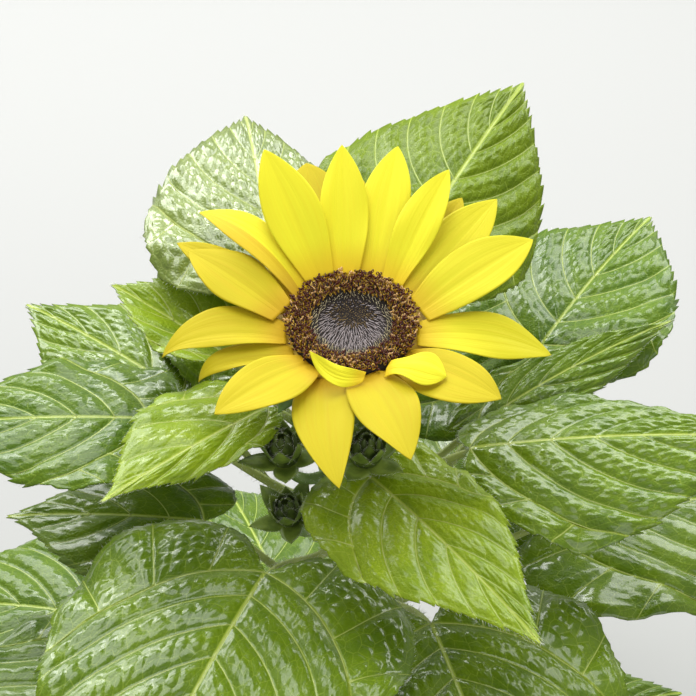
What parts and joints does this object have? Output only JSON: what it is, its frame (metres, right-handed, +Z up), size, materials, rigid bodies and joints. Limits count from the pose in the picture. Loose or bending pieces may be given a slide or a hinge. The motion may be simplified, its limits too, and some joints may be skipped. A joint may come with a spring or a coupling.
{
  "type": "sunflower plant",
  "caption": "Dwarf sunflower plant with a leafy stem, side buds and a yellow bloom round a dark disc, rooted at ground level.",
  "frame": {"origin": "centre of the flat cut under the stem, at ground level", "axes": "+Z up along the stem, -Y towards the side that the bloom faces, +X to the bloom's right as seen from its front"},
  "size_m": [0.4385, 0.4303, 0.4152],
  "materials": {
    "stem": "matte, with fine pale hairs",
    "leaf": "satin, quilted between the veins",
    "bract": "matte, with fine pale hairs",
    "ray": "satin",
    "disc": "matte"
  },
  "bodies": {
    "root": {"stem": "stem", "leaf_front_centre": "leaf", "leaf_front_left": "leaf", "leaf_front_right": "leaf", "leaf_right": "leaf", "leaf_right_upper": "leaf", "leaf_right_back": "leaf", "leaf_back_right": "leaf", "leaf_back_left": "leaf", "leaf_left_folded": "leaf", "leaf_left": "leaf", "leaf_left_low": "leaf", "leaf_left_front": "leaf", "leaf_left_under": "leaf", "leaf_back_low_right": "leaf", "leaf_back_low_left": "leaf", "leaf_low_right": "leaf", "leaf_low_left_front": "leaf", "leaf_low_back_right": "leaf", "leaf_low_front": "leaf", "leaf_low_left": "leaf", "leaf_low_right_front": "leaf", "leaf_foot_back": "leaf", "leaf_foot_front": "leaf", "leaf_foot_right": "leaf", "bloom_cup": "bract", "bloom_disc": "disc", "ray_01": "ray", "ray_02": "ray", "ray_03": "ray", "ray_04": "ray", "ray_05": "ray", "ray_06": "ray", "ray_07": "ray", "ray_08": "ray", "ray_09": "ray", "ray_10": "ray", "ray_11": "ray", "ray_12": "ray", "ray_13": "ray", "ray_14": "ray", "ray_15": "ray", "ray_16": "ray", "ray_17": "ray", "ray_18": "ray", "ray_19": "ray", "ray_20": "ray", "ray_21": "ray", "bud_stalk_01": "stem", "bud_01": "bract", "bud_stalk_02": "stem", "bud_02": "bract", "bud_stalk_03": "stem", "bud_03": "bract"}
  },
  "joints": []
}
